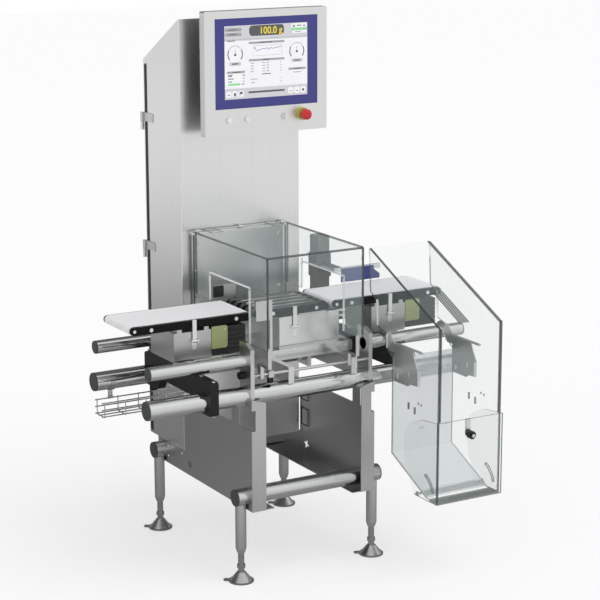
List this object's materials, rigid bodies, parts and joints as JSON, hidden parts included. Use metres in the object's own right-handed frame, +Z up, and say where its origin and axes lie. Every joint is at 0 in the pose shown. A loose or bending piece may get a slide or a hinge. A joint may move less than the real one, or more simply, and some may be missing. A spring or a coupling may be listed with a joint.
{
  "type": "checkweigher",
  "caption": "In-line checkweigher: weigh conveyor between infeed and outfeed belts on a tube frame, with column cabinet, touch terminal, clear hood, pusher and reject bin.",
  "frame": {"origin": "bottom centre of the bounding box, on the floor", "axes": "+X along the belts in the direction of travel, +Y from the operator towards the column, +Z up"},
  "size_m": [1.154, 1.041, 1.759],
  "materials": {
    "brushed_sheet": "brushed sheet",
    "turned_steel": "turned and ground",
    "bright_steel": "bright",
    "black_plastic": "satin moulded",
    "grey_cap": "satin moulded",
    "white_belt": "smooth belt",
    "dark_belt": "smooth belt",
    "black_rail": "satin",
    "anodised": "anodised",
    "motor_finish": "painted casting",
    "olive_cover": "smooth moulded",
    "clear_sheet": "clear polycarbonate sheet",
    "grey_sheet": "smooth sheet",
    "blue_blade": "smooth moulded",
    "unit_plastic": "moulded housings",
    "screen": "smooth",
    "red_cap": "gloss moulded",
    "yellow_ring": "gloss moulded"
  },
  "bodies": {
    "frame": {"frame_plates": "brushed_sheet", "leg_frame": "turned_steel", "lower_tubes": "bright_steel", "upper_tubes": "bright_steel", "end_caps": "grey_cap", "uprights": "brushed_sheet", "clamp_brackets": "black_plastic", "wire_tray": "bright_steel", "weigh_base": "brushed_sheet", "load_cell": "anodised", "weigh_housing": "brushed_sheet", "weigh_carrier": "anodised", "side_rails": "black_rail", "belt_beds": "brushed_sheet", "conveyor_belts": "white_belt", "weigh_strands": "dark_belt", "conveyor_housings": "brushed_sheet", "drive_motors": "motor_finish", "motor_covers": "olive_cover", "bolts": "turned_steel", "hood_back_panel": "clear_sheet", "steel_fittings": "turned_steel", "photo_eyes": "black_plastic", "pusher_body": "motor_finish", "bin_sides": "clear_sheet", "bin_cover": "clear_sheet", "bin_back": "grey_sheet", "column_shell": "brushed_sheet", "control_units": "unit_plastic", "terminal_mount": "turned_steel"},
    "foot_front_left": {"foot_front_left": "turned_steel"},
    "foot_front_right": {"foot_front_right": "turned_steel"},
    "foot_rear_left": {"foot_rear_left": "turned_steel"},
    "foot_rear_right": {"foot_rear_right": "turned_steel"},
    "roller_infeed_start": {"roller_infeed_start": "anodised"},
    "roller_infeed_end": {"roller_infeed_end": "anodised"},
    "roller_outfeed_start": {"roller_outfeed_start": "anodised"},
    "roller_outfeed_end": {"roller_outfeed_end": "anodised"},
    "roller_weigh_start": {"roller_weigh_start": "black_plastic"},
    "roller_weigh_end": {"roller_weigh_end": "black_plastic"},
    "latch_infeed": {"latch_infeed": "bright_steel"},
    "latch_weigh": {"latch_weigh": "bright_steel"},
    "latch_outfeed": {"latch_outfeed": "bright_steel"},
    "hood": {"hood_sheet": "clear_sheet", "hood_sides": "clear_sheet", "hood_hinges": "turned_steel"},
    "terminal": {"terminal_housing": "brushed_sheet", "display_glass": "screen", "stop_collar": "yellow_ring"},
    "button_left": {"button_left": "bright_steel"},
    "button_right": {"button_right": "bright_steel"},
    "key_switch": {"key_switch": "bright_steel"},
    "stop_head": {"stop_head": "red_cap"},
    "column_door": {"column_door": "brushed_sheet"},
    "door_handle": {"door_handle": "black_plastic"},
    "pusher_sleeves": {"pusher_sleeves": "bright_steel"},
    "pusher_head": {"pusher_bar": "bright_steel", "pusher_blade": "blue_blade"},
    "bin_door": {"bin_door": "clear_sheet"},
    "bin_lock": {"bin_lock": "black_plastic"}
  },
  "joints": [
    {"name": "foot_front_left_height", "type": "slide", "parent": "frame", "child": "foot_front_left", "axis": [0, 0, 1], "range_m": [-0.02, 0.015]},
    {"name": "foot_front_right_height", "type": "slide", "parent": "frame", "child": "foot_front_right", "axis": [0, 0, 1], "range_m": [-0.02, 0.015]},
    {"name": "foot_rear_left_height", "type": "slide", "parent": "frame", "child": "foot_rear_left", "axis": [0, 0, 1], "range_m": [-0.02, 0.015]},
    {"name": "foot_rear_right_height", "type": "slide", "parent": "frame", "child": "foot_rear_right", "axis": [0, 0, 1], "range_m": [-0.02, 0.015]},
    {"name": "roller_infeed_start_spin", "type": "hinge", "parent": "frame", "child": "roller_infeed_start", "pos_m": [-0.5635, 0.0155, 0.8325], "axis": [0, 1, 0], "continuous": true},
    {"name": "roller_infeed_end_spin", "type": "hinge", "parent": "frame", "child": "roller_infeed_end", "pos_m": [-0.1725, 0.0155, 0.8325], "axis": [0, 1, 0], "continuous": true},
    {"name": "roller_outfeed_start_spin", "type": "hinge", "parent": "frame", "child": "roller_outfeed_start", "pos_m": [0.1515, 0.0155, 0.8325], "axis": [0, 1, 0], "continuous": true},
    {"name": "roller_outfeed_end_spin", "type": "hinge", "parent": "frame", "child": "roller_outfeed_end", "pos_m": [0.5425, 0.0155, 0.8325], "axis": [0, 1, 0], "continuous": true},
    {"name": "roller_weigh_start_spin", "type": "hinge", "parent": "frame", "child": "roller_weigh_start", "pos_m": [-0.1315, 0.0155, 0.8325], "axis": [0, 1, 0], "continuous": true},
    {"name": "roller_weigh_end_spin", "type": "hinge", "parent": "frame", "child": "roller_weigh_end", "pos_m": [0.1105, 0.0155, 0.8325], "axis": [0, 1, 0], "continuous": true},
    {"name": "latch_infeed_swing", "type": "hinge", "parent": "frame", "child": "latch_infeed", "pos_m": [-0.361, -0.0888, 0.779], "axis": [1, 0, 0], "range_deg": [0, 60]},
    {"name": "latch_weigh_swing", "type": "hinge", "parent": "frame", "child": "latch_weigh", "pos_m": [-0.004, -0.0888, 0.779], "axis": [1, 0, 0], "range_deg": [0, 60]},
    {"name": "latch_outfeed_swing", "type": "hinge", "parent": "frame", "child": "latch_outfeed", "pos_m": [0.354, -0.0888, 0.779], "axis": [1, 0, 0], "range_deg": [0, 60]},
    {"name": "hood_lift", "type": "hinge", "parent": "frame", "child": "hood", "pos_m": [-0.0235, 0.2395, 1.05], "axis": [-1, 0, 0], "range_deg": [0, 60]},
    {"name": "terminal_tilt", "type": "hinge", "parent": "frame", "child": "terminal", "pos_m": [0.036, 0.2335, 1.56], "axis": [1, 0, 0], "range_deg": [-8, 8]},
    {"name": "button_left_press", "type": "slide", "parent": "terminal", "child": "button_left", "axis": [0, 1, 0], "range_m": [0, 0.003], "stiffness_N_per_m": 600, "springref_m": -0.003},
    {"name": "button_right_press", "type": "slide", "parent": "terminal", "child": "button_right", "axis": [0, 1, 0], "range_m": [0, 0.003], "stiffness_N_per_m": 600, "springref_m": -0.003},
    {"name": "key_turn", "type": "hinge", "parent": "terminal", "child": "key_switch", "pos_m": [0.1, 0.1565, 1.414], "axis": [0, 1, 0], "range_deg": [0, 90]},
    {"name": "stop_press", "type": "slide", "parent": "terminal", "child": "stop_head", "axis": [0, 1, 0], "range_m": [0, 0.004]},
    {"name": "column_door_swing", "type": "hinge", "parent": "frame", "child": "column_door", "pos_m": [-0.239, 0.5145, 0.946], "axis": [0, 0, 1], "range_deg": [0, 110]},
    {"name": "door_handle_turn", "type": "hinge", "parent": "column_door", "child": "door_handle", "pos_m": [0.179, 0.5115, 0.95], "axis": [0, 1, 0], "range_deg": [0, 90]},
    {"name": "pusher_stroke", "type": "slide", "parent": "frame", "child": "pusher_head", "axis": [0, -1, 0], "range_m": [0, 0.176]},
    {"name": "pusher_sleeve_stroke", "type": "slide", "parent": "frame", "child": "pusher_sleeves", "axis": [0, -1, 0], "range_m": [0, 0.088]},
    {"name": "bin_door_tilt", "type": "hinge", "parent": "frame", "child": "bin_door", "pos_m": [0.3895, -0.3935, 0.266], "axis": [1, 0, 0], "range_deg": [0, 44]},
    {"name": "bin_lock_turn", "type": "hinge", "parent": "bin_door", "child": "bin_lock", "pos_m": [0.387, -0.5035, 0.472], "axis": [0, 1, 0], "range_deg": [0, 90]}
  ],
  "couplings": [
    {"joint": "roller_infeed_end_spin", "follows": "roller_infeed_start_spin", "ratio": 1},
    {"joint": "roller_outfeed_end_spin", "follows": "roller_outfeed_start_spin", "ratio": 1},
    {"joint": "roller_weigh_end_spin", "follows": "roller_weigh_start_spin", "ratio": 1},
    {"joint": "pusher_sleeve_stroke", "follows": "pusher_stroke", "ratio": 0.5}
  ]
}
